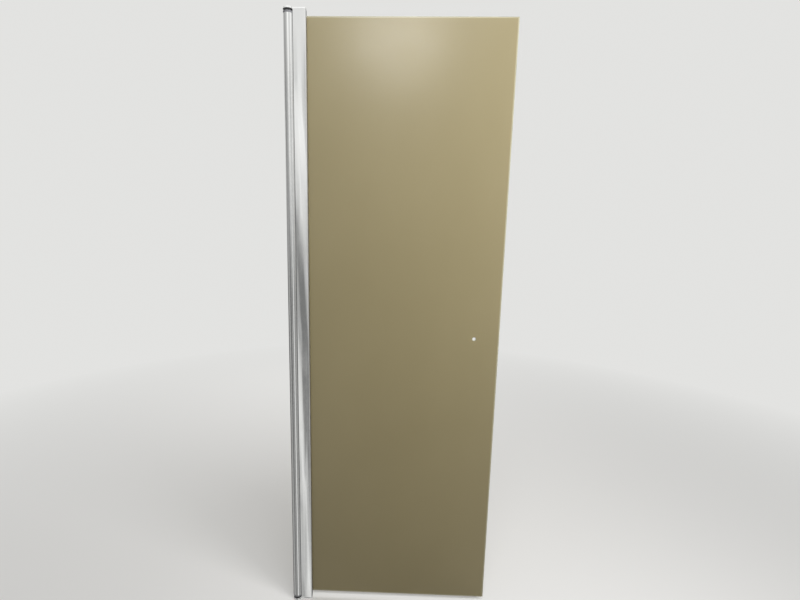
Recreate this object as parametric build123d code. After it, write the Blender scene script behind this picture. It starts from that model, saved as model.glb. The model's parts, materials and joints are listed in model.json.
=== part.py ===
"""Pivot shower door, folded flat against its hinge post.

X runs from the hinge side towards the free edge of the glass, Y from the front to the back, Z up.
The sketches are drawn about the hinge axis. place() then sets them in the frame of the part, whose
origin is the middle of the door's footprint at its lowest point.
"""

import os

from build123d import *

# Glass leaf
GLASS_HEIGHT = 1950.0
GLASS_WIDTH = 678.0
GLASS_THICK = 6.0
GLASS_CORNER = 2.0
GLASS_ARRIS = 0.8
KNOB_HOLE_R = 5.0
KNOB_HOLE_BEVEL = 1.2
KNOB_HOLE_INSET = 82.0

# Pivot tube, one extrusion with the channel that holds the glass
TUBE_R = 15.0
TUBE_WALL = 2.0
GASKET = 1.0
CHANNEL_WALL = 1.5
CHANNEL_FRONT = 12.0
CHANNEL_LEFT = -9.0
CHANNEL_DEPTH = 19.5
CHANNEL_CORNER = 2.5
CHAMBER_LEFT = -7.0
CHAMBER_FRONT = 14.0
GASKET_LIP = 0.7
GASKET_LIP_OVER = 0.5
STRIP_THICK = 2.0

# Hinge post, a box section open on the wall side
POST_LEFT = 10.0
POST_RIGHT = 53.3
POST_FRONT = -5.5
POST_DEPTH = 16.0
POST_WALL = 1.8
POST_CORNER = 2.5
CRADLE_GAP = 0.8
CRADLE_WALL = 3.2
PORT_X = 22.5
PORT_R = 1.7
PORT_WALL = 1.2
PORT_INSET = 2.0

# Wiper seal between post and tube
SEAL_MIDDLE = 2.5
SEAL_WIDTH = 2.8
SEAL_FRONT = 15.3
SEAL_BACK = 17.7
SEAL_GROOVE_FIT = 0.1
SEAL_ROUND = 0.8

# Wall channel inside the post
WALL_FACE = 53.8
WALL_BASE = 2.0
WALL_FLANK = 1.5
WALL_FLANK_TIP = 27.0
WALL_SLIDE_GAP = 0.2
WALL_END_GAP = 1.0
WALL_HOLE_R = 2.75
WALL_HOLE_STEPS = (280.0, 840.0)
ADJUSTMENT = 15.0

# Lock screws through the back flank
LOCK_X = 33.0
LOCK_STEP = 841.5
LOCK_R = 2.0
LOCK_HEAD_R = 3.6
LOCK_HEAD = 1.9
LOCK_HEAD_GAP = 0.1
LOCK_TIP = 2.2
LOCK_SLOT_R = 2.3
LOCK_SLOT_SPARE = 0.3
LOCK_SOCKET = 2.5
LOCK_SOCKET_DEPTH = 1.2
NUT_R = 3.5
NUT_PILOT_R = 2.75
NUT_LENGTH = 3.5

# End fittings
PLATE_THICK = 5.5
PLATE_BACK_CORNER = 5.0
PLATE_EDGE = 0.5
PIN_R = 4.0
PIN_LENGTH = 38.0
PIN_POINT = 0.6
COLLAR_R = 13.5
COLLAR_BORE_R = 4.3
COLLAR_THICK = 5.8
COLLAR_GAP = 0.2
COLLAR_EDGE = 0.4
FLANGE_R = 14.75
FLANGE_THICK = 6.0
FLANGE_EDGE = 0.5
FIT_GAP = 0.1
SPIGOT_LENGTH = 25.0
BUSH_BORE_R = 4.05
SCREW_HEAD_R = 3.9
SCREW_HEAD = 2.2
SCREW_HOLE_R = 2.3
SCREW_LENGTH = 22.0
SCREW_RECESS = 4.4
SCREW_RECESS_WIDTH = 1.0
SCREW_RECESS_DEPTH = 1.4
COVER_THICK = 3.0
COVER_GLASS_GAP = 0.1
TUBE_SHORT = 1.0

# Places that follow from the sizes above
FLANGE_LOW = PLATE_THICK + COLLAR_GAP + COLLAR_THICK
TUBE_LOW = FLANGE_LOW + FLANGE_THICK
GLASS_LOW = TUBE_LOW - TUBE_SHORT
HEIGHT = GLASS_HEIGHT + 2 * GLASS_LOW
TUBE_HIGH = HEIGHT - TUBE_LOW
MIDDLE = HEIGHT / 2
BORE_R = TUBE_R - TUBE_WALL
SLOT_FRONT = CHANNEL_FRONT + CHANNEL_WALL
GLASS_FRONT = SLOT_FRONT + GASKET
GLASS_BACK = GLASS_FRONT + GLASS_THICK
SLOT_BACK = GLASS_BACK + GASKET
CHANNEL_BACK = SLOT_BACK + CHANNEL_WALL
GLASS_LEFT = STRIP_THICK
GLASS_RIGHT = GLASS_LEFT + GLASS_WIDTH
POST_BACK = POST_FRONT + POST_DEPTH
CAVITY_FRONT = POST_FRONT + POST_WALL
CAVITY_BACK = POST_BACK - POST_WALL
CRADLE_R = TUBE_R + CRADLE_GAP
PORTS_Y = (CAVITY_FRONT + PORT_INSET, CAVITY_BACK - PORT_INSET)
LOCK_HEIGHTS = (MIDDLE - LOCK_STEP, MIDDLE, MIDDLE + LOCK_STEP)
FAR = 2 * TUBE_R
OVERSHOOT = 1.0
SAME_PLACE = 0.01
AXIS_X = -(GLASS_RIGHT - TUBE_R) / 2
AXIS_Y = -(CHANNEL_BACK - TUBE_R) / 2


def place(shape):
    """Moves a shape drawn about the hinge axis into the frame of the part."""
    return Pos(AXIS_X, AXIS_Y, 0) * shape


def rect(left, front, right, back):
    """A rectangle given by its four sides."""
    return Pos((left + right) / 2, (front + back) / 2) * Rectangle(right - left, back - front)


def prism(sketch, low, high):
    """The sketch carried from height low to height high."""
    return extrude(Pos(0, 0, low) * sketch, high - low)


def round_corners(sketch, corners, radius):
    """Rounds the corners of the sketch that lie at the given points."""
    found = [v for v in sketch.vertices() for x, y in corners if abs(v.X - x) + abs(v.Y - y) < SAME_PLACE]
    return fillet(found, radius)


def rod_y(x, z, radius, front, back):
    """A round bar along Y."""
    return Pos(x, (front + back) / 2, z) * Rot(90, 0, 0) * Cylinder(radius, back - front)


def rod_x(y, z, radius, left, right):
    """A round bar along X."""
    return Pos((left + right) / 2, y, z) * Rot(0, 90, 0) * Cylinder(radius, right - left)


def at_top(shape):
    """The same piece at the upper end, which mirrors the lower one."""
    return mirror(shape, about=Plane.XY.offset(MIDDLE))


def behind(line):
    """Everything behind the line y = line, as a sketch larger than the tube."""
    return rect(-FAR, line, FAR, line + 2 * FAR)


def channel_outline():
    """Outside of the glass channel, with its closed end rounded."""
    outline = rect(CHANNEL_LEFT, CHANNEL_FRONT, CHANNEL_DEPTH, CHANNEL_BACK)
    return round_corners(outline, [(CHANNEL_LEFT, CHANNEL_BACK)], CHANNEL_CORNER)


def make_pivot_tube():
    """Round tube with the glass channel behind it, drawn as one extrusion."""
    section = Circle(TUBE_R) + channel_outline()
    section -= Circle(BORE_R) - behind(CHANNEL_FRONT)
    section -= rect(0, SLOT_FRONT, FAR, SLOT_BACK)
    section -= rect(CHAMBER_LEFT, CHAMBER_FRONT, -CHANNEL_WALL, SLOT_BACK)
    return prism(section, TUBE_LOW, TUBE_HIGH)


def make_gasket(glass_side, channel_side, wall_side):
    """Strip between the glass and one channel wall, with a lip over the wall's end."""
    low, high = sorted((glass_side, channel_side))
    section = rect(STRIP_THICK, low, CHANNEL_DEPTH, high)
    low, high = sorted((glass_side, wall_side))
    section += rect(CHANNEL_DEPTH, low, CHANNEL_DEPTH + GASKET_LIP, high)
    return prism(section, TUBE_LOW, TUBE_HIGH)


def make_edge_strip():
    """Setting strip between the glass edge and the base of the channel."""
    return prism(rect(0, SLOT_FRONT, STRIP_THICK, SLOT_BACK), TUBE_LOW, TUBE_HIGH)


def make_glass_panel():
    """Flat pane with ground edges and one bevelled hole for the knob."""
    size = (GLASS_WIDTH, GLASS_THICK, GLASS_HEIGHT)
    pane = Pos(GLASS_LEFT + GLASS_WIDTH / 2, GLASS_FRONT + GLASS_THICK / 2, MIDDLE) * Box(*size)
    right_corners = pane.edges().filter_by(Axis.Y).group_by(Axis.X)[-1]
    pane = fillet(right_corners, GLASS_CORNER)
    faces = pane.faces().sort_by(Axis.Y)
    pane = chamfer(faces[0].edges() + faces[-1].edges(), GLASS_ARRIS)
    hole_x = GLASS_RIGHT - KNOB_HOLE_INSET
    pane -= rod_y(hole_x, MIDDLE, KNOB_HOLE_R, GLASS_FRONT - OVERSHOOT, GLASS_BACK + OVERSHOOT)
    circles = pane.edges().filter_by(GeomType.CIRCLE)
    rims = [e for e in circles if abs(e.radius - KNOB_HOLE_R) < SAME_PLACE]
    return chamfer(rims, KNOB_HOLE_BEVEL)


def make_channel_cover():
    """End cap of the glass channel, with a pocket for the end of the glass."""
    cover = prism(channel_outline(), TUBE_LOW - COVER_THICK, TUBE_LOW)
    pocket = rect(
        GLASS_LEFT - COVER_GLASS_GAP,
        GLASS_FRONT - COVER_GLASS_GAP,
        FAR,
        GLASS_BACK + COVER_GLASS_GAP,
    )
    return cover - prism(pocket, GLASS_LOW - COVER_GLASS_GAP, TUBE_LOW)


def make_bush():
    """Bush with a flange under the tube and a flatted spigot that can't turn in the bore."""
    flange = prism(Circle(FLANGE_R) - behind(CHANNEL_FRONT - FIT_GAP), FLANGE_LOW, TUBE_LOW)
    flange = chamfer(flange.edges().group_by(Axis.Z)[0], FLANGE_EDGE)
    flat = behind(CHANNEL_FRONT - FIT_GAP)
    spigot = prism(Circle(BORE_R - FIT_GAP) - flat, TUBE_LOW, TUBE_LOW + SPIGOT_LENGTH)
    bore = prism(Circle(BUSH_BORE_R), FLANGE_LOW, TUBE_LOW + SPIGOT_LENGTH)
    return flange + spigot - bore


def make_collar():
    """Thrust washer between the end plate and the bush."""
    low = PLATE_THICK + COLLAR_GAP
    ring = prism(Circle(COLLAR_R), low, low + COLLAR_THICK)
    ring = chamfer(ring.edges(), COLLAR_EDGE)
    return ring - prism(Circle(COLLAR_BORE_R), low, low + COLLAR_THICK)


def post_outline():
    """Outside of the hinge post, hollowed on the left to clear the tube."""
    outline = rect(POST_LEFT, POST_FRONT, POST_RIGHT, POST_BACK)
    outline = round_corners(
        outline, [(POST_RIGHT, POST_FRONT), (POST_RIGHT, POST_BACK)], POST_CORNER
    )
    return outline - Circle(CRADLE_R)


def seal_section(spare):
    """Section of the wiper seal, widened by spare for the groove."""
    half = SEAL_WIDTH / 2 + spare
    return rect(SEAL_FRONT, SEAL_MIDDLE - half, SEAL_BACK + spare, SEAL_MIDDLE + half)


def make_hinge_post():
    """Box section open to the wall, with two screw ports and slots for the lock screws."""
    cavity = rect(POST_LEFT, CAVITY_FRONT, POST_RIGHT + OVERSHOOT, CAVITY_BACK)
    cavity -= Circle(CRADLE_R + CRADLE_WALL)
    section = post_outline() - cavity
    for y in PORTS_Y:
        section += Pos(PORT_X, y) * Circle(PORT_R + PORT_WALL)
    for y in PORTS_Y:
        section -= Pos(PORT_X, y) * Circle(PORT_R)
    section -= seal_section(SEAL_GROOVE_FIT)
    post = prism(section, PLATE_THICK, HEIGHT - PLATE_THICK)
    for z in LOCK_HEIGHTS:
        post -= lock_slot(z)
    return post


def lock_slot(z):
    """Slot in the back flank, as long as the adjustment of the post."""
    left, right = LOCK_X - LOCK_SLOT_SPARE, LOCK_X + ADJUSTMENT + LOCK_SLOT_SPARE
    front, back = CAVITY_BACK - WALL_SLIDE_GAP / 2, POST_BACK + OVERSHOOT
    middle = Pos((left + right) / 2, (front + back) / 2, z)
    slot = middle * Box(right - left, back - front, 2 * LOCK_SLOT_R)
    for x in (left, right):
        slot += rod_y(x, z, LOCK_SLOT_R, front, back)
    return slot


def make_wiper_seal():
    """Strip in the post's groove that closes the gap to the tube."""
    corners = [(SEAL_FRONT, SEAL_MIDDLE + side * SEAL_WIDTH / 2) for side in (-1, 1)]
    section = round_corners(seal_section(0), corners, SEAL_ROUND)
    return prism(section, PLATE_THICK, HEIGHT - PLATE_THICK)


def make_wall_channel():
    """U-shaped channel that is screwed to the wall and carries the post."""
    front, back = CAVITY_FRONT + WALL_SLIDE_GAP, CAVITY_BACK - WALL_SLIDE_GAP
    section = rect(WALL_FLANK_TIP, front, WALL_FACE, back)
    section -= rect(0, front + WALL_FLANK, WALL_FACE - WALL_BASE, back - WALL_FLANK)
    low = PLATE_THICK + WALL_END_GAP
    channel = prism(section, low, HEIGHT - low)
    for step in WALL_HOLE_STEPS:
        for z in (MIDDLE - step, MIDDLE + step):
            channel -= rod_x((front + back) / 2, z, WALL_HOLE_R, WALL_FACE - 2 * WALL_BASE, WALL_FACE)
    for z in LOCK_HEIGHTS:
        channel -= rod_y(LOCK_X, z, NUT_PILOT_R, back - WALL_FLANK, back)
    return channel


def make_clinch_nuts():
    """Threaded inserts in the back flank of the wall channel."""
    back = CAVITY_BACK - WALL_SLIDE_GAP
    inner = back - WALL_FLANK
    nuts = []
    for z in LOCK_HEIGHTS:
        nut = rod_y(LOCK_X, z, NUT_R, inner - NUT_LENGTH, inner)
        nut += rod_y(LOCK_X, z, NUT_PILOT_R, inner, back)
        nuts.append(nut - rod_y(LOCK_X, z, LOCK_R, inner - NUT_LENGTH, back))
    return Compound(children=nuts)


def make_lock_screws():
    """Low-head screws with a hexagon socket that clamp the post to the wall channel."""
    under = POST_BACK + LOCK_HEAD_GAP
    screws = []
    for z in LOCK_HEIGHTS:
        head = rod_y(LOCK_X, z, LOCK_HEAD_R, under, under + LOCK_HEAD)
        head = chamfer(head.edges().group_by(Axis.Y)[-1], PLATE_EDGE)
        screw = head + rod_y(LOCK_X, z, LOCK_R, LOCK_TIP, under)
        mouth = Pos(LOCK_X, under + LOCK_HEAD, z) * Rot(90, 0, 0)
        socket = extrude(RegularPolygon(LOCK_SOCKET / 2, 6, major_radius=False), LOCK_SOCKET_DEPTH)
        screws.append(screw - mouth * socket)
    return Compound(children=screws)


def make_end_plate():
    """One flat plate over the end of both the post and the tube."""
    body = rect(0, POST_FRONT, POST_RIGHT, POST_BACK)
    body = round_corners(body, [(POST_RIGHT, POST_FRONT)], POST_CORNER)
    body = round_corners(body, [(POST_RIGHT, POST_BACK)], PLATE_BACK_CORNER)
    plate = prism(Circle(TUBE_R) + body, 0, PLATE_THICK)
    plate = chamfer(plate.edges().group_by(Axis.Z)[0], PLATE_EDGE)
    plate -= prism(Circle(PIN_R), 0, PLATE_THICK)
    for y in PORTS_Y:
        plate -= Pos(PORT_X, y, 0) * screw_seat()
    return plate


def screw_seat():
    """Countersunk hole for a plate screw, its head flush with the lower face."""
    cone = Pos(0, 0, SCREW_HEAD / 2) * Cone(SCREW_HEAD_R, SCREW_HOLE_R, SCREW_HEAD)
    return cone + Pos(0, 0, PLATE_THICK / 2) * Cylinder(SCREW_HOLE_R, PLATE_THICK)


def make_plate_screws():
    """Two countersunk screws that run up into the ports of the post."""
    screws = []
    for y in PORTS_Y:
        head = Pos(0, 0, SCREW_HEAD / 2) * Cone(SCREW_HEAD_R, SCREW_HOLE_R, SCREW_HEAD)
        shank = prism(Circle(PORT_R), SCREW_HEAD, SCREW_LENGTH)
        recess = Box(SCREW_RECESS, SCREW_RECESS_WIDTH, 2 * SCREW_RECESS_DEPTH)
        recess += Box(SCREW_RECESS_WIDTH, SCREW_RECESS, 2 * SCREW_RECESS_DEPTH)
        screws.append(Pos(PORT_X, y, 0) * (head + shank - recess))
    return Compound(children=screws)


def make_pivot_pin():
    """Pin pressed into the end plate, on which the bush turns."""
    pin = prism(Circle(PIN_R), 0, PIN_LENGTH)
    return chamfer(pin.edges().group_by(Axis.Z)[-1], PIN_POINT)


def all_parts():
    """Every sub-part by its node name, still drawn about the hinge axis."""
    parts = {
        "glass_panel": make_glass_panel(),
        "pivot_tube": make_pivot_tube(),
        "gasket_front": make_gasket(GLASS_FRONT, SLOT_FRONT, SLOT_FRONT - GASKET_LIP_OVER),
        "gasket_back": make_gasket(GLASS_BACK, SLOT_BACK, SLOT_BACK + GASKET_LIP_OVER),
        "edge_strip": make_edge_strip(),
        "hinge_post": make_hinge_post(),
        "wiper_seal": make_wiper_seal(),
        "wall_channel": make_wall_channel(),
        "clinch_nuts": make_clinch_nuts(),
        "lock_screws": make_lock_screws(),
    }
    ends = {
        "end_plate": make_end_plate(),
        "plate_screws": make_plate_screws(),
        "pivot_pin": make_pivot_pin(),
        "collar": make_collar(),
        "bush": make_bush(),
        "channel_cover": make_channel_cover(),
    }
    for name, piece in ends.items():
        parts["bottom_" + name] = piece
        parts["top_" + name] = at_top(piece)
    return parts


def main():
    os.makedirs("parts", exist_ok=True)
    for name, shape in all_parts().items():
        export_step(place(shape), "parts/" + name + ".step")


main()
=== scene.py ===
import json

import bmesh
import bpy
import numpy as np
from mathutils import Matrix, Vector
from mathutils.geometry import tessellate_polygon


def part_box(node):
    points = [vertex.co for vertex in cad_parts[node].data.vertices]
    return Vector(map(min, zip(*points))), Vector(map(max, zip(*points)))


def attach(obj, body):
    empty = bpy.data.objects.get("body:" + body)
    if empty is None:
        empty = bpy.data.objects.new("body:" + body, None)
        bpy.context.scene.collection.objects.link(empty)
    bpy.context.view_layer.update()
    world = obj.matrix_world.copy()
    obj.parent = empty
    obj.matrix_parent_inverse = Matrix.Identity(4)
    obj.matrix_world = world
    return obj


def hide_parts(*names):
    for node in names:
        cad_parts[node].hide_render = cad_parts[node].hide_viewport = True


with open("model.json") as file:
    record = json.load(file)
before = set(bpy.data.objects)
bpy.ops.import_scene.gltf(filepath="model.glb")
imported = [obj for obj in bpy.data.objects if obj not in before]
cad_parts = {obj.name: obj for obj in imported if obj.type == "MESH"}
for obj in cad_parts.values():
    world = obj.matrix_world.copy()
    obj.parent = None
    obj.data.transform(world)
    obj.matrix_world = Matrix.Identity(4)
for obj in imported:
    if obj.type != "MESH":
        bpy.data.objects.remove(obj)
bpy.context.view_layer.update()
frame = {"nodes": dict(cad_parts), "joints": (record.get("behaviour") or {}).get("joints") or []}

MM = 0.001

# Small sizes of the fittings, in millimetres. The large ones are read from the frame.
TUBE_WALL = 2.0
CHANNEL_WALL = 1.5
CHANNEL_CORNER = 2.5
CHANNEL_FRONT = 12.0
CHANNEL_LEFT = -9.0
CHAMBER_LEFT = -7.0
CHAMBER_FRONT = 14.0
CHAMBER_CORNER = 0.8
POST_WALL = 1.8
POST_CORNER = 2.5
CRADLE_GAP = 0.8
CRADLE_WALL = 3.2
PORT_X = 22.5
PORT_R = 1.7
PORT_WALL = 1.2
PORT_INSET = 2.0
SEAL_SPARE = 0.1
SEAL_ROUND = 0.8
WALL_BASE = 2.0
WALL_FLANK = 1.5
WALL_HOLE_R = 2.75
WALL_HOLE_STEPS = (280.0, 840.0)
WALL_CUTTER_REACH = 4.0
LOCK_X = 33.0
LOCK_STEP = 841.5
LOCK_R = 2.0
LOCK_HEAD_R = 3.6
LOCK_HEAD = 1.9
LOCK_TRAVEL = 15.0
LOCK_SLOT_R = 2.3
LOCK_SLOT_SPARE = 0.3
LOCK_SOCKET = 2.5
LOCK_SOCKET_DEPTH = 1.2
LOCK_HEAD_RIM = 0.5
NUT_PILOT_R = 2.75
PLATE_BACK_CORNER = 5.0
PLATE_NECK = 1.2
PLATE_RIM = 0.5
PLATE_DRAFT = 0.15
PLATE_SEAM = 0.25
PLATE_NECK_START = 0.3
PLATE_NECK_POINTS = 3
PIN_R = 4.0
PIN_RIM = 0.3
PIN_SINK = 0.15
SCREW_HEAD_R = 3.0
SCREW_HEAD = 2.2
SCREW_HOLE_R = 2.3
SCREW_RECESS = 4.4
SCREW_RECESS_WIDTH = 1.0
SCREW_RECESS_DEPTH = 1.4
SCREW_RECESS_DRAFT = 0.1
COLLAR_BORE_R = 4.3
COLLAR_RIM = 0.4
BUSH_BORE_R = 4.05
BUSH_RIM = 0.5
FIT_GAP = 0.1
GASKET_LIP = 0.7
GASKET_OVER = 0.5
GASKET_ROUND = 0.4
COVER_RIM = 0.4
COVER_STOP = 0.6
GLASS_CORNER = 2.0
GLASS_HELD_CORNER = 0.5
GLASS_ARRIS = 0.8
KNOB_HOLE_R = 5.0
KNOB_HOLE_BEVEL = 1.2
KNOB_HOLE_INSET = 82.0
CUT_EDGE = 0.15
# Painted highlight on the pane's free edges: lighter colour from the first distance in, full from
# the second, in millimetres
EDGE_HIGHLIGHT_START = 5.0
EDGE_HIGHLIGHT_FULL = 3.0

# Camera, fitted to the edges of the glass in the 800 by 600 photograph
IMAGE_WIDTH, IMAGE_HEIGHT = 800.0, 600.0
FOCAL_PX = 451.0
OPTICAL_AXIS_PX = (377.7, 302.3)
CAMERA_PLACE = (-12.8, -1447.3, 1365.9)
PITCH, ROLL, YAW = 10.016, -0.922, 1.677
SENSOR = 36.0

# Noise runs from 0 to 1 but mostly keeps between these
NOISE_LOW, NOISE_HIGH = 0.3, 0.7

# Studio: levels of light, where 1 is white, and distances in metres
FLOOR_SIZE = 40.0
FLOOR_COLOUR = "#E6E5E3"
FLOOR_FADE = (0.9, 3.6)
BACKDROP = 0.80
BACKDROP_COLOUR = "#FAFAF8"
AMBIENT = 0.30

# What the mirrors see: streaks, and above them the even levels calm, crown and zenith. A level
# comes in between the two heights of its band, 0 at the horizon and 1 overhead. The band of the
# streaks is the part of the noise that makes them.
STREAKS_PER_RADIAN = 75.0
STREAK_LEAN = 5.0
STREAK_RISE = 1.6
STREAK_DARK, STREAK_LIGHT = 0.40, 1.65
STREAK_BAND = (0.35, 0.65)
CALM = 1.25
CALM_BAND = (0.26, 0.36)
CROWN = 1.40
CROWN_BAND = (0.40, 0.46)
ZENITH = 0.80
ZENITH_BAND = (0.60, 0.80)

# Upright panels round the door above and below the horizon: (degrees from the front towards +X,
# level). They run into each other across the horizon's band.
HORIZON_BAND = (-0.16, 0.16)
PANELS_HIGH = (
    (-180, 0.55),
    (-150, 0.70),
    (-128, 0.85),
    (-100, 0.40),
    (-60, 0.42),
    (-28, 0.60),
    (-17, 0.80),
    (-8, 0.85),
    (-3, 1.12),
    (6, 1.12),
    (24, 0.75),
    (46, 0.75),
    (66, 1.10),
    (82, 0.85),
    (102, 0.28),
    (140, 0.30),
    (180, 0.55),
)
PANELS_LOW = (
    (-180, 0.50),
    (-166, 0.10),
    (-122, 0.10),
    (-100, 0.42),
    (-62, 0.46),
    (-36, 0.20),
    (-18, 0.22),
    (-14, 0.66),
    (-8, 0.66),
    (-4, 0.22),
    (12, 0.24),
    (20, 0.95),
    (36, 0.85),
    (52, 0.38),
    (96, 0.45),
    (130, 0.16),
    (166, 0.20),
    (180, 0.50),
)

hinge = next(j for j in frame["joints"] if j["name"] == "door_swing")
AXIS = np.array(hinge["pos_m"][:2]) / MM


class Side:
    """The six sides of a node in millimetres, measured from the hinge axis and the floor."""

    def __init__(self, node):
        low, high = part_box(node)
        self.left, self.front = np.array(low[:2]) / MM - AXIS
        self.right, self.back = np.array(high[:2]) / MM - AXIS
        self.low, self.high = low[2] / MM, high[2] / MM


tube = Side("pivot_tube")
post = Side("hinge_post")
glass = Side("glass_panel")
wall = Side("wall_channel")
seal = Side("wiper_seal")
plate = Side("bottom_end_plate")
collar = Side("bottom_collar")
bush = Side("bottom_bush")
pin = Side("bottom_pivot_pin")
cover = Side("bottom_channel_cover")
plate_screws = Side("bottom_plate_screws")
lock_screws = Side("lock_screws")
HEIGHT = Side("top_end_plate").high
MIDDLE = HEIGHT / 2
TUBE_R = -tube.left
SLOT_FRONT = CHANNEL_FRONT + CHANNEL_WALL
SLOT_BACK = tube.back - CHANNEL_WALL
CAVITY_FRONT = post.front + POST_WALL
CAVITY_BACK = post.back - POST_WALL
PORTS_Y = (CAVITY_FRONT + PORT_INSET, CAVITY_BACK - PORT_INSET)
LOCK_HEIGHTS = (MIDDLE - LOCK_STEP, MIDDLE, MIDDLE + LOCK_STEP)


def arc(x, y, radius, start, stop, steps=24):
    """Points on a circle: the centre plus radius * (cos a, sin a), a going from start to stop."""
    a = np.radians(np.linspace(start, stop, steps))
    return np.column_stack([x + radius * np.cos(a), y + radius * np.sin(a)])


def circle_loop(x, y, radius, steps=64):
    """Full circle, its last point one step short of the first."""
    return arc(x, y, radius, 0, 360 - 360 / steps, steps)


def angle_of(x, y):
    """Angle of a point about the hinge axis, in degrees."""
    return np.degrees(np.arctan2(y, x))


def rounded(corners, steps=7):
    """Closed outline whose corners (x, y, radius) are cut by arcs.

    An arc's centre lies on the corner's bisector at radius / sin(half angle), and its points turn
    evenly from one tangent point to the other.
    """
    points = np.array([c[:2] for c in corners], float)
    out = []
    for i, (x, y, radius) in enumerate(corners):
        here = points[i]
        if radius == 0:
            out.append(here[None])
            continue
        u, v = points[i - 1] - here, points[(i + 1) % len(points)] - here
        u, v = u / np.linalg.norm(u), v / np.linalg.norm(v)
        half = np.arccos(np.clip(u @ v, -1, 1)) / 2
        centre = here + (u + v) / np.linalg.norm(u + v) * radius / np.sin(half)
        start = (here + u * radius / np.tan(half) - centre) / radius
        stop = (here + v * radius / np.tan(half) - centre) / radius
        turn = np.pi - 2 * half
        k = np.linspace(0, 1, steps)[:, None]
        ray = (start * np.sin((1 - k) * turn) + stop * np.sin(k * turn)) / np.sin(turn)
        out.append(centre + radius * ray)
    return np.concatenate(out)


def sharp(points):
    """Points of a curve as corners that need no rounding."""
    return [(x, y, 0) for x, y in points]


def box_loop(left, front, right, back, radius=0.0):
    """Rectangle with rounded corners."""
    corners = [(left, front), (right, front), (right, back), (left, back)]
    return rounded([(x, y, radius) for x, y in corners])


def outward(loop):
    """Outward direction at each point of an anticlockwise loop.

    It is the sum of the normals of the two sides divided by one plus their dot product, so that an
    offset keeps every side parallel.
    """
    side = np.roll(loop, -1, 0) - loop
    side /= np.linalg.norm(side, axis=1)[:, None]
    normal = np.column_stack([side[:, 1], -side[:, 0]])
    before = np.roll(normal, 1, 0)
    return (normal + before) / (1 + (normal * before).sum(1))[:, None]


def anticlockwise(loop):
    """The loop, reversed if it turns clockwise: half the sum of cross products is its area."""
    x, y = loop.T
    area = (x * np.roll(y, -1) - np.roll(x, -1) * y).sum()
    return loop if area > 0 else loop[::-1]


def foot(low, radius, steps=4):
    """Stations (height, inset) of a wall's rounded lower edge.

    It is a quarter circle: inset radius * (1 - sin a), rise radius * (1 - cos a).
    """
    a = np.linspace(0, np.pi / 2, steps + 1)
    return list(zip(low + radius * (1 - np.cos(a)), radius * (1 - np.sin(a))))


def crown(high, radius, steps=4):
    """Stations of a wall's rounded upper edge: the foot turned over."""
    return [(high - rise, inset) for rise, inset in reversed(foot(0, radius, steps))]


def rim(low, high, radius, steps=4):
    """Stations of a wall whose two edges are rounded."""
    return foot(low, radius, steps) + crown(high, radius, steps)


def rings(loop, stations):
    """One ring of points for each station: the loop moved inwards by the inset, at the height."""
    loop = anticlockwise(np.asarray(loop, float))
    direction = outward(loop)
    level = np.ones(len(loop))
    return np.stack([np.column_stack([loop - direction * d, level * z]) for z, d in stations])


def ring_faces(count, size, first):
    """Quads between neighbouring rings: corners (i, j), (i, j + 1), (i + 1, j + 1), (i + 1, j)."""
    i, j = np.meshgrid(np.arange(count - 1), np.arange(size), indexing="ij")
    k = (j + 1) % size
    quads = np.stack([i * size + j, i * size + k, (i + 1) * size + k, (i + 1) * size + j], -1)
    return (quads.reshape(-1, 4) + first).tolist()


def cap(loops):
    """Triangles that fill the first loop and leave the others open. A loop is (points, indices)."""
    index = np.concatenate([i for _, i in loops])
    outlines = [[Vector((p[0], p[1], 0)) for p in points] for points, _ in loops]
    return [tuple(int(index[k]) for k in t) for t in tessellate_polygon(outlines)]


def slab(outline, stations, holes=(), bands=()):
    """Solid between two heights: a wall round the outline, walls round the holes and flat caps.

    A hole is (loop, stations) with stations from the bottom up, and a blind one adds "top" or
    "bottom" for the end that is open. bands holds, for the outline and then for each hole, a
    material index for each row of its wall.
    """
    points, faces, slots, size = [], [], [], 0
    ends = {"bottom": [], "top": []}
    for number, (loop, levels, *blind) in enumerate([(outline, stations), *holes]):
        grid = rings(loop, levels)
        count, length = grid.shape[:2]
        points.append(grid.reshape(-1, 3))
        walls = ring_faces(count, length, size)
        faces += walls
        band = bands[number] if number < len(bands) else [0] * (count - 1)
        slots += np.repeat(band, length).tolist()
        lower = (grid[0], np.arange(length) + size)
        upper = (grid[-1], np.arange(length) + size + (count - 1) * length)
        for end, one, other in (("bottom", lower, upper), ("top", upper, lower)):
            if number == 0 or not blind or blind[0] == end:
                ends[end].append(one)
            if number and blind and blind[0] == end:
                floor = cap([other])
                faces += floor
                slots += [0] * len(floor)
        size += count * length
    for end in ends.values():
        filled = cap(end)
        faces += filled
        slots += [0] * len(filled)
    return np.concatenate(points), faces, slots


def moved(solid, place):
    """The solid with its points moved by a function."""
    points, faces, slots = solid
    return place(points), faces, slots


def turned_up(points):
    """The same points mirrored to the upper end of the door."""
    return points * (1, 1, -1) + (0, 0, HEIGHT)


def upright(points):
    """Points drawn as (x, z, depth) set into (x, y, z)."""
    return points[:, [0, 2, 1]]


def sideways(points):
    """Points drawn as (y, z, depth) set into (x, y, z)."""
    return points[:, [2, 0, 1]]


def solid_mesh(name, shapes):
    """One mesh of solids, moved from millimetres about the hinge axis into the frame."""
    points, faces, slots, size = [], [], [], 0
    for p, f, s in shapes:
        points.append(p)
        faces += [tuple(k + size for k in face) for face in f]
        slots += s
        size += len(p)
    place = (np.concatenate(points) + (*AXIS, 0)) * MM
    mesh = bpy.data.meshes.new(name)
    mesh.from_pydata(place.tolist(), [], faces)
    mesh.polygons.foreach_set("material_index", slots)
    turn_outwards(mesh)
    return mesh


def turn_outwards(mesh):
    """Makes every face of a closed mesh point outwards."""
    work = bmesh.new()
    work.from_mesh(mesh)
    bmesh.ops.recalc_face_normals(work, faces=work.faces)
    work.to_mesh(mesh)
    work.free()


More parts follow.
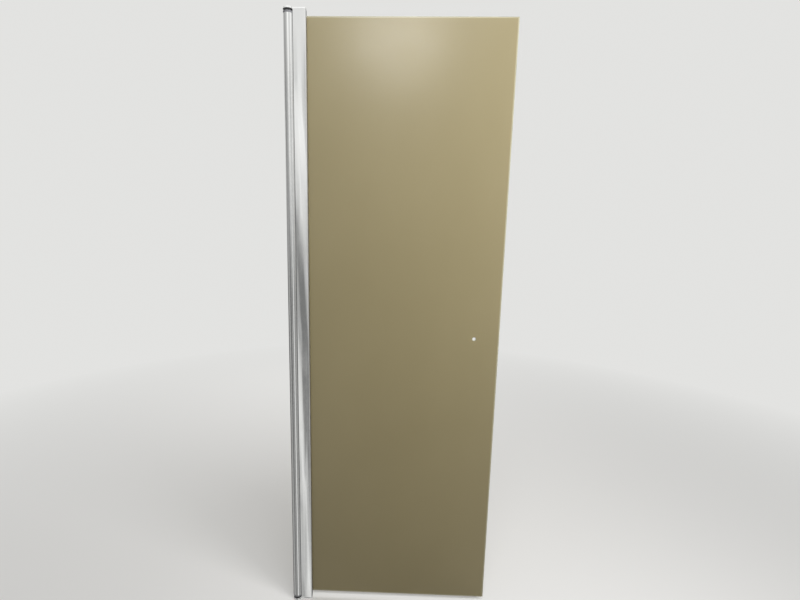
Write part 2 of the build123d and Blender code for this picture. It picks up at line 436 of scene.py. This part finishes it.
def settle(obj, kind, **settings):
    """Runs one modifier on the object and keeps its result as the mesh."""
    step = obj.modifiers.new(kind, kind)
    for key, value in settings.items():
        setattr(step, key, value)
    bpy.context.view_layer.update()
    shown = obj.evaluated_get(bpy.context.evaluated_depsgraph_get())
    ready = bpy.data.meshes.new_from_object(shown)
    obj.modifiers.clear()
    obj.data = ready


def cut(obj, shapes):
    """Takes the given solids away from the object and keeps its materials."""
    cutter = bpy.data.objects.new("cutter", solid_mesh("cutter", shapes))
    bpy.context.scene.collection.objects.link(cutter)
    settle(obj, "BOOLEAN", operation="DIFFERENCE", solver="EXACT", object=cutter)
    bpy.data.objects.remove(cutter)
    turn_outwards(obj.data)


def piece(name, shapes, materials, body, nodes, holes=(), smooth=35.0):
    """Makes one object of the frame from solids, less the holes.

    An edge stays sharp where it turns more than the angle. Elsewhere a corner's normal leans to its
    larger faces, so that a flat face beside a rounded edge mirrors as a flat one.
    """
    obj = bpy.data.objects.new(name, solid_mesh(name, shapes))
    bpy.context.scene.collection.objects.link(obj)
    for material in materials:
        obj.data.materials.append(material)
    if holes:
        cut(obj, holes)
    obj.data.shade_smooth()
    obj.data.set_sharp_from_angle(angle=np.radians(smooth))
    settle(obj, "WEIGHTED_NORMAL", mode="FACE_AREA", keep_sharp=True)
    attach(obj, body)
    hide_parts(*nodes)


def linear(code, alpha=1.0):
    """sRGB hex colour as linear light, by the standard's curve."""
    c = np.array([int(code[i:i + 2], 16) for i in (1, 3, 5)]) / 255
    c = np.where(c <= 0.04045, c / 12.92, ((c + 0.055) / 1.055) ** 2.4)
    return (*c, alpha)


def add(tree, kind, inputs=None, **settings):
    """Adds a node, sets its properties, and fills or links its inputs."""
    made = tree.nodes.new(kind)
    for key, value in settings.items():
        setattr(made, key, value)
    for key, value in (inputs or {}).items():
        if isinstance(value, bpy.types.NodeSocket):
            tree.links.new(value, made.inputs[key])
        else:
            made.inputs[key].default_value = value
    return made


def pattern(tree, size, detail=2.0, roughness=0.5, offset=(0, 0, 0)):
    """Noise on Object coordinates. size is one spot's length along X, Y and Z, in millimetres."""
    place = add(tree, "ShaderNodeTexCoord").outputs["Object"]
    scale = tuple(1 / (s * MM) for s in size)
    mapping = {0: place, "Scale": scale, "Location": offset}
    place = add(tree, "ShaderNodeMapping", mapping).outputs[0]
    noise = {"Vector": place, "Scale": 1.0, "Detail": detail, "Roughness": roughness}
    return add(tree, "ShaderNodeTexNoise", noise).outputs["Fac"]


def between(tree, value, low, high, from_low=NOISE_LOW, from_high=NOISE_HIGH):
    """Maps a value evenly from one range to another and stops at its ends."""
    ends = {"From Min": from_low, "From Max": from_high, "To Min": low, "To Max": high}
    return add(tree, "ShaderNodeMapRange", {"Value": value, **ends}).outputs[0]


def tint(tree, value, dark, light):
    """Mixes two colours by a pattern."""
    inputs = {0: value, 6: linear(dark), 7: linear(light)}
    return add(tree, "ShaderNodeMix", inputs, data_type="RGBA").outputs[2]


def relief(tree, height, depth, under=None):
    """Bump whose full range is depth, in millimetres."""
    inputs = {"Height": height, "Distance": depth * MM, "Strength": 1.0}
    if under is not None:
        inputs["Normal"] = under
    return add(tree, "ShaderNodeBump", inputs).outputs[0]


def surface(name, **inputs):
    """A material with one Principled shader. Returns the material, its tree and the shader."""
    material = bpy.data.materials.new(name)
    material.use_nodes = True
    tree = material.node_tree
    shader = tree.nodes["Principled BSDF"]
    for key, value in inputs.items():
        shader.inputs[key.replace("_", " ")].default_value = value
    return material, tree, shader


def bind(tree, shader, **sockets):
    """Links outputs to the shader's inputs."""
    for key, socket in sockets.items():
        tree.links.new(socket, shader.inputs[key.replace("_", " ")])


def mirror_chrome():
    """Bright chrome on an aluminium extrusion: a mirror with long waves and faint die lines."""
    material, tree, shader = surface("mirror_chrome", Metallic=1.0)
    waves = pattern(tree, (22, 22, 380), detail=1.0)
    lines = pattern(tree, (0.9, 0.9, 160), detail=3.0)
    haze = pattern(tree, (45, 45, 90), detail=4.0, roughness=0.6)
    normal = relief(tree, waves, 0.06)
    normal = relief(tree, lines, 0.0008, normal)
    bind(
        tree,
        shader,
        Base_Color=tint(tree, haze, "#D8D9DA", "#E3E3E2"),
        Roughness=between(tree, haze, 0.02, 0.05),
        Normal=normal,
    )
    return material


def plain_aluminium():
    """Mill-finish extruded aluminium: grey, with straight die lines along its length."""
    material, tree, shader = surface("extruded_aluminium", Metallic=1.0)
    lines = pattern(tree, (0.7, 0.7, 120), detail=4.0)
    cloud = pattern(tree, (30, 30, 60), detail=3.0)
    bind(
        tree,
        shader,
        Base_Color=tint(tree, cloud, "#A9ABAD", "#C3C4C5"),
        Roughness=between(tree, lines, 0.28, 0.44),
        Normal=relief(tree, lines, 0.01),
    )
    return material


def painted_edge_highlight(tree):
    """Mask of a painted highlight: 1 along the free edges of the pane and 0 inside, where a lighter
    colour stands in for light caught in the last millimetres.
    """
    place = add(tree, "ShaderNodeTexCoord").outputs["Object"]
    x, _, z = add(tree, "ShaderNodeSeparateXYZ", {0: place}).outputs
    end = (glass.right + AXIS[0]) * MM
    side = between(tree, x, 0.0, 1.0, end - EDGE_HIGHLIGHT_START * MM, end - EDGE_HIGHLIGHT_FULL * MM)
    height = add(tree, "ShaderNodeMath", {0: z, 1: MIDDLE * MM}, operation="SUBTRACT").outputs[0]
    height = add(tree, "ShaderNodeMath", {0: height}, operation="ABSOLUTE").outputs[0]
    end = (glass.high - MIDDLE) * MM
    ends = between(tree, height, 0.0, 1.0, end - EDGE_HIGHLIGHT_START * MM, end - EDGE_HIGHLIGHT_FULL * MM)
    return add(tree, "ShaderNodeMath", {0: side, 1: ends}, operation="MAXIMUM").outputs[0]


def satin_glass():
    """Acid-etched glass: an even satin face that scatters light and lets some through, with a
    painted highlight along its free edges.
    """
    material, tree, shader = surface("satin_glass", IOR=1.5, Transmission_Weight=0.3)
    cloud = pattern(tree, (260, 260, 420), detail=3.0)
    grain = pattern(tree, (1.2, 1.2, 1.2), detail=2.0)
    smear = pattern(tree, (170, 60, 120), detail=4.0, roughness=0.55, offset=(3, 1, 7))
    face = tint(tree, cloud, "#998D69", "#A29672")
    # Painted highlight: the base colour turns to a lighter #BDB598 near the pane's free edges
    edge = {0: painted_edge_highlight(tree), 6: face, 7: linear("#BDB598")}
    bind(
        tree,
        shader,
        Base_Color=add(tree, "ShaderNodeMix", edge, data_type="RGBA").outputs[2],
        Roughness=between(tree, smear, 0.28, 0.33),
        Normal=relief(tree, grain, 0.006),
    )
    return material


def ground_edge(name, dark, light, rough):
    """Ground glass: fine grinding marks, lighter and greener than the satin faces."""
    material, tree, shader = surface(name, IOR=1.5, Transmission_Weight=0.2)
    lines = pattern(tree, (0.6, 0.6, 40), detail=3.0)
    bind(
        tree,
        shader,
        Base_Color=tint(tree, lines, dark, light),
        Roughness=between(tree, lines, rough - 0.06, rough + 0.06),
        Normal=relief(tree, lines, 0.01),
    )
    return material


def soft_vinyl():
    """Extruded vinyl seal: grey, soft sheen, slightly uneven."""
    material, tree, shader = surface("soft_vinyl", IOR=1.5)
    cloud = pattern(tree, (3, 3, 40), detail=3.0)
    bind(
        tree,
        shader,
        Base_Color=tint(tree, cloud, "#6B6D6C", "#7C7E7D"),
        Roughness=between(tree, cloud, 0.42, 0.58),
        Normal=relief(tree, cloud, 0.03),
    )
    return material


def moulded(name, dark, light, rough):
    """Moulded nylon with a fine spark-eroded grain."""
    material, tree, shader = surface(name, IOR=1.53)
    grain = pattern(tree, (0.35, 0.35, 0.35), detail=2.0)
    cloud = pattern(tree, (8, 8, 8), detail=2.0)
    bind(
        tree,
        shader,
        Base_Color=tint(tree, cloud, dark, light),
        Roughness=between(tree, grain, rough - 0.06, rough + 0.06),
        Normal=relief(tree, grain, 0.02),
    )
    return material


def turned_steel():
    """Stainless screws and pins: fine turning marks in the metal."""
    material, tree, shader = surface("turned_steel", Metallic=1.0)
    marks = pattern(tree, (2.5, 2.5, 0.25), detail=3.0)
    bind(
        tree,
        shader,
        Base_Color=tint(tree, marks, "#A8A8A6", "#C6C6C4"),
        Roughness=between(tree, marks, 0.22, 0.36),
        Normal=relief(tree, marks, 0.008),
    )
    return material


CHROME = mirror_chrome()
ALUMINIUM = plain_aluminium()
GLASS = satin_glass()
GLASS_EDGE = ground_edge("polished_glass_edge", "#A6AD95", "#C0C6B0", 0.22)
GLASS_BEVEL = ground_edge("ground_glass_bevel", "#D4D8CC", "#E4E7DE", 0.5)
VINYL = soft_vinyl()
BLACK = moulded("black_nylon", "#141416", "#202023", 0.5)
GREY = moulded("grey_nylon", "#76767A", "#88888B", 0.5)
STEEL = turned_steel()


def channel_loop():
    """Outside of the glass channel."""
    corner = CHANNEL_CORNER
    return [
        (tube.right, CHANNEL_FRONT, COVER_RIM),
        (tube.right, tube.back, COVER_RIM),
        (CHANNEL_LEFT, tube.back, corner),
        (CHANNEL_LEFT, CHANNEL_FRONT, 0),
    ]


def build_tube():
    """Round tube and glass channel, one extrusion: a circle of radius R joined to an open box."""
    start = angle_of(CHANNEL_LEFT, CHANNEL_FRONT)
    stop = angle_of(-CHANNEL_LEFT, CHANNEL_FRONT) + 360
    circle = arc(0, 0, TUBE_R, start, stop, 160)
    edge = CUT_EDGE * 2
    corners = sharp(circle) + [
        (tube.right, CHANNEL_FRONT, edge),
        (tube.right, SLOT_FRONT, edge),
        (0, SLOT_FRONT, 0),
        (0, SLOT_BACK, 0),
        (tube.right, SLOT_BACK, edge),
        (tube.right, tube.back, edge),
        (CHANNEL_LEFT, tube.back, CHANNEL_CORNER),
    ]
    bore_r = TUBE_R - TUBE_WALL
    flat = np.degrees(np.arcsin(CHANNEL_FRONT / bore_r))
    bore = arc(0, 0, bore_r, 180 - flat, 360 + flat, 96)
    chamber = box_loop(CHAMBER_LEFT, CHAMBER_FRONT, -CHANNEL_WALL, SLOT_BACK, CHAMBER_CORNER)
    ends = [(tube.low, 0), (tube.high, 0)]
    stations = rim(tube.low, tube.high, CUT_EDGE, 2)
    solid = slab(rounded(corners), stations, [(bore, ends), (chamber, ends)])
    piece("pivot_tube_profile", [solid], [CHROME], "leaf", ["pivot_tube"])


def port_arc(y, side):
    """Outside of a screw port, from one crossing with the wall to the other, anticlockwise."""
    lean = np.degrees(np.arcsin(PORT_INSET / (PORT_R + PORT_WALL)))
    start = -lean if side == "front" else 180 - lean
    return arc(PORT_X, y, PORT_R + PORT_WALL, start, start + 180 + 2 * lean, 30)


def post_loop():
    """Outline of the post: front face, wall-side end, cavity with its ports, back face, cradle."""
    cradle = TUBE_R + CRADLE_GAP
    inner = cradle + CRADLE_WALL
    lip = np.degrees(np.arcsin((POST_CORNER - POST_WALL) / POST_CORNER))
    turn = post.right - POST_CORNER
    seal_low, seal_high = seal.front - SEAL_SPARE, seal.back + SEAL_SPARE
    seal_deep = seal.right + SEAL_SPARE

    def on(radius, y):
        return angle_of(np.sqrt(radius**2 - y**2), y)

    runs = [
        arc(turn, post.front + POST_CORNER, POST_CORNER, -90, -lip, 14),
        port_arc(PORTS_Y[0], "front"),
        arc(0, 0, inner, on(inner, CAVITY_FRONT), on(inner, CAVITY_BACK), 20),
        port_arc(PORTS_Y[1], "back"),
        arc(turn, post.back - POST_CORNER, POST_CORNER, lip, 90, 14),
        arc(0, 0, cradle, on(cradle, post.back), on(cradle, seal_high), 16),
        np.array([(seal_deep, seal_high), (seal_deep, seal_low)]),
        arc(0, 0, cradle, on(cradle, seal_low), on(cradle, post.front), 16),
    ]
    return np.concatenate(runs)


def lock_slot(z):
    """Slot through the back flank: two half circles joined by straight sides."""
    left, right = LOCK_X - LOCK_SLOT_SPARE, LOCK_X + LOCK_TRAVEL + LOCK_SLOT_SPARE
    ends = [arc(right, z, LOCK_SLOT_R, -90, 90, 24), arc(left, z, LOCK_SLOT_R, 90, 270, 24)]
    depth = [(CAVITY_BACK - POST_WALL, 0), (post.back + POST_WALL, 0)]
    return moved(slab(np.concatenate(ends), depth), upright)


def build_post():
    """Flat box section open to the wall, hollowed on the left round the tube."""
    ends = [(post.low, 0), (post.high, 0)]
    ports = [(circle_loop(PORT_X, y, PORT_R, 48), ends) for y in PORTS_Y]
    walls = [
        (post.low, PLATE_SEAM),
        (post.low + PLATE_SEAM, 0),
        (post.high - PLATE_SEAM, 0),
        (post.high, PLATE_SEAM),
    ]
    solid = slab(post_loop(), walls, ports)
    slots = [lock_slot(z) for z in LOCK_HEIGHTS]
    piece("hinge_post_profile", [solid], [CHROME], "post", ["hinge_post"], slots)


def build_wall_channel():
    """U section open towards the post, with the wall-screw holes and the nut holes."""
    corners = [
        (wall.left, wall.front, CUT_EDGE),
        (wall.right, wall.front, CUT_EDGE),
        (wall.right, wall.back, CUT_EDGE),
        (wall.left, wall.back, CUT_EDGE),
        (wall.left, wall.back - WALL_FLANK, CUT_EDGE),
        (wall.right - WALL_BASE, wall.back - WALL_FLANK, 0),
        (wall.right - WALL_BASE, wall.front + WALL_FLANK, 0),
        (wall.left, wall.front + WALL_FLANK, CUT_EDGE),
    ]
    solid = slab(rounded(corners, 4), [(wall.low, 0), (wall.high, 0)])
    middle = (wall.front + wall.back) / 2
    heights = [MIDDLE + side * step for step in WALL_HOLE_STEPS for side in (-1, 1)]
    through = [(wall.right - WALL_CUTTER_REACH, 0), (wall.right + WALL_CUTTER_REACH, 0)]
    holes = [
        moved(slab(circle_loop(middle, z, WALL_HOLE_R, 36), through), sideways) for z in heights
    ]
    through = [(wall.back - 2 * WALL_FLANK, 0), (wall.back + 2 * WALL_FLANK, 0)]
    holes += [
        moved(slab(circle_loop(LOCK_X, z, NUT_PILOT_R, 36), through), upright) for z in LOCK_HEIGHTS
    ]
    piece(
        "wall_channel_profile",
        [solid],
        [ALUMINIUM],
        "wall_side",
        ["wall_channel"],
        holes,
    )


def build_strips():
    """Wiper seal and the two gaskets, each an outline carried along the door's height."""
    corners = [
        (seal.left, seal.front, SEAL_ROUND),
        (seal.right, seal.front, CUT_EDGE),
        (seal.right, seal.back, CUT_EDGE),
        (seal.left, seal.back, SEAL_ROUND),
    ]
    solid = slab(rounded(corners), [(seal.low, 0), (seal.high, 0)])
    piece("wiper_seal_strip", [solid], [VINYL], "post", ["wiper_seal"])
    sides = (("front", glass.front, SLOT_FRONT), ("back", glass.back, SLOT_BACK))
    tip = tube.right + GASKET_LIP
    for name, near, far in sides:
        over = far + np.sign(far - near) * GASKET_OVER
        corners = [
            (glass.left, near, 0),
            (tip, near, CUT_EDGE),
            (tip, over, GASKET_ROUND),
            (tube.right, over, 0),
            (tube.right, far, 0),
            (glass.left, far, 0),
        ]
        solid = slab(rounded(corners), [(tube.low, 0), (tube.high, 0)])
        piece("gasket_strip_" + name, [solid], [VINYL], "leaf", ["gasket_" + name])


def build_glass():
    """Pane: a rounded rectangle with a slope at every edge, and the knob hole with its bevel."""
    outline = rounded(
        [
            (glass.left, glass.low, GLASS_HELD_CORNER),
            (glass.right, glass.low, GLASS_CORNER),
            (glass.right, glass.high, GLASS_CORNER),
            (glass.left, glass.high, GLASS_HELD_CORNER),
        ]
    )
    slope = [
        (glass.front, GLASS_ARRIS),
        (glass.front + GLASS_ARRIS, 0),
        (glass.back - GLASS_ARRIS, 0),
        (glass.back, GLASS_ARRIS),
    ]
    bevel = [
        (glass.front, -KNOB_HOLE_BEVEL),
        (glass.front + KNOB_HOLE_BEVEL, 0),
        (glass.back - KNOB_HOLE_BEVEL, 0),
        (glass.back, -KNOB_HOLE_BEVEL),
    ]
    hole = circle_loop(glass.right - KNOB_HOLE_INSET, MIDDLE, KNOB_HOLE_R, 96)
    pane = slab(outline, slope, [(hole, bevel)], bands=[(1, 1, 1), (2, 1, 2)])
    piece(
        "satin_pane",
        [moved(pane, upright)],
        [GLASS, GLASS_EDGE, GLASS_BEVEL],
        "leaf",
        ["glass_panel"],
        smooth=20.0,
    )


def plate_loop():
    """Round end about the hinge axis, running into the flat end that covers the post."""
    neck_front = angle_of(np.sqrt(TUBE_R**2 - post.front**2), post.front)
    neck_back = angle_of(np.sqrt(TUBE_R**2 - post.back**2), post.back)
    circle = arc(0, 0, TUBE_R, neck_back, 360 + neck_front, 140)
    flat_end = [
        (circle[-1][0] + PLATE_NECK_START, post.front, PLATE_NECK),
        (post.right, post.front, POST_CORNER),
        (post.right, post.back, PLATE_BACK_CORNER),
        (circle[0][0] + PLATE_NECK_START, post.back, PLATE_NECK),
    ]
    return rounded(sharp(circle[PLATE_NECK_POINTS:-PLATE_NECK_POINTS]) + flat_end)


def cross_loop(x, y):
    """Outline of a cross recess: one arm's tip and inner corner, turned by quarter turns."""
    long, short = SCREW_RECESS / 2, SCREW_RECESS_WIDTH / 2
    arm = np.array([(long, -short), (long, short), (short, short)])
    quarter_turn = np.array([(0, 1), (-1, 0)])
    arms = [arm @ np.linalg.matrix_power(quarter_turn, k) for k in range(4)]
    return np.concatenate(arms) + (x, y)


def build_end(end, place):
    """Plate, pin, screws, collar, bush and channel cover of one end of the door."""
    full = plate.high
    edge = [(z, inset + PLATE_DRAFT * (1 - z / full)) for z, inset in foot(0, PLATE_RIM)]
    edge += [(full - PLATE_SEAM, 0), (full, PLATE_SEAM)]
    seat = [(0, SCREW_HOLE_R - SCREW_HEAD_R), (SCREW_HEAD, 0), (full, 0)]
    holes = [(circle_loop(0, 0, PIN_R), [(0, -PIN_SINK), (PIN_SINK, 0), (full, 0)])]
    holes += [(circle_loop(PORT_X, y, SCREW_HOLE_R), seat) for y in PORTS_Y]
    pivot = slab(circle_loop(0, 0, PIN_R), rim(0, pin.high, PIN_RIM))
    shapes = {
        "end_plate": ([slab(plate_loop(), edge, holes)], CHROME, "post", "chrome"),
        "pivot_pin": ([pivot], STEEL, "post", "steel"),
        "plate_screws": ([screw(y) for y in PORTS_Y], STEEL, "post", "steel"),
        "collar": ([ring(collar, COLLAR_BORE_R, COLLAR_RIM)], BLACK, "leaf", "black_plastic"),
        "bush": (bush_shapes(), GREY, "leaf", "grey_plastic"),
        "channel_cover": (cover_shapes(), GREY, "leaf", "grey_plastic"),
    }
    for name, (solids, material, body, slot) in shapes.items():
        node = end + "_" + name
        placed = [moved(solid, place) for solid in solids]
        piece(node + "_shape", placed, [material], body, [node])


def screw(y):
    """Countersunk screw: a cone under a flat head with a cross recess, and a straight shank."""
    shank = SCREW_HOLE_R - PORT_R
    stations = [
        (0, SCREW_HOLE_R - SCREW_HEAD_R),
        (SCREW_HEAD, 0),
        (SCREW_HEAD, shank),
        (plate_screws.high, shank),
    ]
    depth = [(0, 0), (SCREW_RECESS_DEPTH, SCREW_RECESS_DRAFT)]
    recess = (cross_loop(PORT_X, y), depth, "bottom")
    return slab(circle_loop(PORT_X, y, SCREW_HOLE_R), stations, [recess])


def ring(side, bore, edge):
    """Ring between two radii with rounded rims."""
    radius = -side.left
    hole = (circle_loop(0, 0, bore), [(side.low, 0), (side.high, 0)])
    return slab(circle_loop(0, 0, radius, 120), rim(side.low, side.high, edge), [hole])


def flatted(radius, line, steps=120):
    """Circle cut off behind the line y = line."""
    flat = np.degrees(np.arcsin(line / radius))
    return arc(0, 0, radius, 180 - flat, 360 + flat, steps)


def bush_shapes():
    """Bush flange and spigot, both with a flat at the back."""
    line = CHANNEL_FRONT - FIT_GAP
    top = tube.low
    bore = circle_loop(0, 0, BUSH_BORE_R)
    hole = (bore, [(bush.low, 0), (top, 0)])
    flange = slab(flatted(-bush.left, line), rim(bush.low, top, BUSH_RIM), [hole])
    spigot_r = TUBE_R - TUBE_WALL - FIT_GAP
    length = [(top, 0), (bush.high, 0)]
    spigot = slab(flatted(spigot_r, line), length, [(bore, length)])
    return [flange, spigot]


def cover_shapes():
    """Cap over the end of the glass channel, up to the glass and then round it."""
    outline = rounded(channel_loop())
    front, back = glass.front - FIT_GAP, glass.back + FIT_GAP
    notch = box_loop(glass.left - FIT_GAP, front, tube.right - COVER_STOP, back)
    depth = [(glass.low - FIT_GAP, 0), (tube.low, 0)]
    return [slab(outline, rim(cover.low, tube.low, COVER_RIM), [(notch, depth, "top")])]


def build_lock_screws():
    """Low-head screws: a rounded head with a hexagon socket and a straight shank."""
    top = lock_screws.back
    under = top - LOCK_HEAD
    neck = LOCK_HEAD_R - LOCK_R
    stations = [(lock_screws.front, neck), (under, neck), (under, 0), *crown(top, LOCK_HEAD_RIM)]
    depth = [(top - LOCK_SOCKET_DEPTH, 0), (top, 0)]
    solids = []
    for z in LOCK_HEIGHTS:
        socket = (circle_loop(LOCK_X, z, LOCK_SOCKET / np.sqrt(3), 6), depth, "top")
        head = slab(circle_loop(LOCK_X, z, LOCK_HEAD_R), stations, [socket])
        solids.append(moved(head, upright))
    piece("lock_screws_shape", solids, [STEEL], "wall_side", ["lock_screws"])


def dress_hidden_nodes():
    """The strip under the glass edge and the clinch nuts keep their own meshes."""
    for name, material in (("edge_strip", VINYL), ("clinch_nuts", STEEL)):
        mesh = frame["nodes"][name].data
        mesh.materials.clear()
        mesh.materials.append(material)


def build_floor():
    """Plain pale floor that runs into the backdrop. Mirrors see past it to the studio."""
    mesh = bpy.data.meshes.new("floor")
    s = FLOOR_SIZE / 2
    mesh.from_pydata([(-s, -s, 0), (s, -s, 0), (s, s, 0), (-s, s, 0)], [], [(0, 1, 2, 3)])
    floor = bpy.data.objects.new("floor", mesh)
    bpy.context.scene.collection.objects.link(floor)
    material, tree, shader = surface("matt_floor", Roughness=0.9)
    shader.inputs["Base Color"].default_value = linear(FLOOR_COLOUR)
    place = add(tree, "ShaderNodeTexCoord").outputs["Object"]
    away = add(tree, "ShaderNodeVectorMath", {0: place}, operation="LENGTH").outputs["Value"]
    fade = between(tree, away, 0.0, 1.0, *FLOOR_FADE)
    glow = add(tree, "ShaderNodeEmission", {"Color": linear(BACKDROP_COLOUR), "Strength": BACKDROP})
    mix = add(tree, "ShaderNodeMixShader", {0: fade, 1: shader.outputs[0], 2: glow.outputs[0]})
    tree.links.new(mix.outputs[0], tree.nodes["Material Output"].inputs[0])
    mesh.materials.append(material)
    floor.visible_glossy = False
    floor.visible_diffuse = False


def panel_ring(tree, turn, panels):
    """Level all round the door at one height, smooth from panel to panel.

    A ramp's colours stop at 1, so it holds half of each level.
    """
    ramp = add(tree, "ShaderNodeValToRGB", {0: turn})
    ramp.color_ramp.interpolation = "EASE"
    stops = ramp.color_ramp.elements
    while len(stops) < len(panels):
        stops.new(1.0)
    for stop, (degrees, level) in zip(stops, panels):
        stop.position = (degrees + 180) / 360
        stop.color = (level / 2, level / 2, level / 2, 1)
    doubled = {0: ramp.outputs[0], 1: 2.0}
    return add(tree, "ShaderNodeMath", doubled, operation="MULTIPLY").outputs[0]


def build_world():
    """Pale studio: an even backdrop for the camera, upright light and dark panels for mirrors."""
    world = bpy.data.worlds.new("studio")
    bpy.context.scene.world = world
    world.use_nodes = True
    tree = world.node_tree
    tree.nodes.clear()
    path = add(tree, "ShaderNodeLightPath")
    direction = add(tree, "ShaderNodeTexCoord").outputs["Generated"]
    x, y, z = add(tree, "ShaderNodeSeparateXYZ", {0: direction}).outputs
    front = add(tree, "ShaderNodeMath", {0: y, 1: -1.0}, operation="MULTIPLY").outputs[0]
    angle = add(tree, "ShaderNodeMath", {0: x, 1: front}, operation="ARCTAN2").outputs[0]
    turn = between(tree, angle, 0.0, 1.0, -np.pi, np.pi)
    across = {0: angle, 1: STREAKS_PER_RADIAN}
    across = add(tree, "ShaderNodeMath", across, operation="MULTIPLY").outputs[0]
    lean = {0: z, 1: STREAK_LEAN, 2: across}
    across = add(tree, "ShaderNodeMath", lean, operation="MULTIPLY_ADD").outputs[0]
    along = add(tree, "ShaderNodeMath", {0: z, 1: STREAK_RISE}, operation="MULTIPLY").outputs[0]
    flat = add(tree, "ShaderNodeCombineXYZ", {"X": across, "Y": along}).outputs[0]
    noise = {"Vector": flat, "Scale": 1.0, "Detail": 2.0}
    streak = add(tree, "ShaderNodeTexNoise", noise).outputs["Fac"]
    streak = between(tree, streak, STREAK_DARK, STREAK_LIGHT, *STREAK_BAND)
    calm = between(tree, z, 0.0, 1.0, *CALM_BAND)
    streak = add(tree, "ShaderNodeMix", {0: calm, 2: streak, 3: CALM}).outputs[0]
    low = panel_ring(tree, turn, PANELS_LOW)
    high = panel_ring(tree, turn, PANELS_HIGH)
    rise = between(tree, z, 0.0, 1.0, *HORIZON_BAND)
    panels = add(tree, "ShaderNodeMix", {0: rise, 2: low, 3: high}).outputs[0]
    streaked = {0: panels, 1: streak}
    mirrored = add(tree, "ShaderNodeMath", streaked, operation="MULTIPLY").outputs[0]
    for above, level in ((CROWN_BAND, CROWN), (ZENITH_BAND, ZENITH)):
        reach = between(tree, z, 0.0, 1.0, *above)
        mirrored = add(tree, "ShaderNodeMix", {0: reach, 2: mirrored, 3: level}).outputs[0]
    seen = {0: path.outputs["Is Glossy Ray"], 2: AMBIENT, 3: mirrored}
    seen = add(tree, "ShaderNodeMix", seen).outputs[0]
    direct = {0: path.outputs["Is Camera Ray"], 1: path.outputs["Is Transmission Ray"]}
    direct = add(tree, "ShaderNodeMath", direct, operation="MAXIMUM").outputs[0]
    level = add(tree, "ShaderNodeMix", {0: direct, 2: seen, 3: BACKDROP}).outputs[0]
    glow = add(tree, "ShaderNodeBackground", {"Color": linear(BACKDROP_COLOUR), "Strength": level})
    add(tree, "ShaderNodeOutputWorld", {"Surface": glow.outputs[0]})


def area_light(name, place, target, size, power, mirrored=False):
    """Soft rectangular lamp that faces its target. Mirrors and glass show it if it is mirrored."""
    data = bpy.data.lights.new(name, "AREA")
    data.shape, data.size, data.size_y = "RECTANGLE", size[0], size[1]
    data.energy = power
    lamp = bpy.data.objects.new(name, data)
    lamp.location = place
    lamp.rotation_euler = (Vector(target) - Vector(place)).to_track_quat("-Z", "Y").to_euler()
    lamp.visible_glossy = lamp.visible_transmission = mirrored
    bpy.context.scene.collection.objects.link(lamp)
    return lamp


def light_only(lamp, name):
    """Keeps a lamp's light to one piece: in the chrome it would be a hard white line."""
    lit = bpy.data.collections.new(lamp.name + "_lit")
    lit.objects.link(bpy.data.objects[name])
    lamp.light_linking.receiver_collection = lit


def build_camera():
    """Camera at the photograph's angle: yaw about Z, then pitch about X, then roll about Y."""
    pitch_cos, roll_cos, yaw_cos = np.cos(np.radians([PITCH, ROLL, YAW]))
    pitch_sin, roll_sin, yaw_sin = np.sin(np.radians([PITCH, ROLL, YAW]))
    turn = np.array([[yaw_cos, yaw_sin, 0], [-yaw_sin, yaw_cos, 0], [0, 0, 1]])
    tip = np.array([[1, 0, 0], [0, pitch_cos, -pitch_sin], [0, pitch_sin, pitch_cos]])
    tilt = np.array([[roll_cos, 0, -roll_sin], [0, 1, 0], [roll_sin, 0, roll_cos]])
    right, ahead, up = tilt @ tip @ turn
    data = bpy.data.cameras.new("camera")
    data.sensor_width = SENSOR
    data.lens = SENSOR * FOCAL_PX / IMAGE_WIDTH
    data.shift_x = (IMAGE_WIDTH / 2 - OPTICAL_AXIS_PX[0]) / IMAGE_WIDTH
    data.shift_y = (OPTICAL_AXIS_PX[1] - IMAGE_HEIGHT / 2) / IMAGE_WIDTH
    camera = bpy.data.objects.new("camera", data)
    place = Matrix(np.column_stack([right, up, -ahead]).tolist()).to_4x4()
    place.translation = Vector(CAMERA_PLACE) * MM
    camera.matrix_world = place
    bpy.context.scene.collection.objects.link(camera)
    bpy.context.scene.camera = camera


build_tube()
build_post()
build_wall_channel()
build_strips()
build_glass()
build_end("bottom", lambda points: points)
build_end("top", turned_up)
build_lock_screws()
dress_hidden_nodes()
build_floor()
build_world()
sheen = area_light("sheen_lamp", (0.0, -1.9, 2.62), (0.0, 0.0, 1.8), (0.5, 0.25), 8, mirrored=True)
light_only(sheen, "satin_pane")
area_light("key_lamp", (0.2, -1.25, 2.85), (0.0, 0.0, 1.5), (1.2, 0.6), 18)
area_light("side_lamp", (1.3, -1.0, 1.7), (0.2, 0.0, 1.1), (0.8, 1.2), 24)
area_light("rear_lamp", (-0.8, 3.2, 2.6), (0.0, 0.0, 1.0), (2.0, 1.2), 70)
build_camera()
bpy.context.scene.view_settings.view_transform = "Standard"
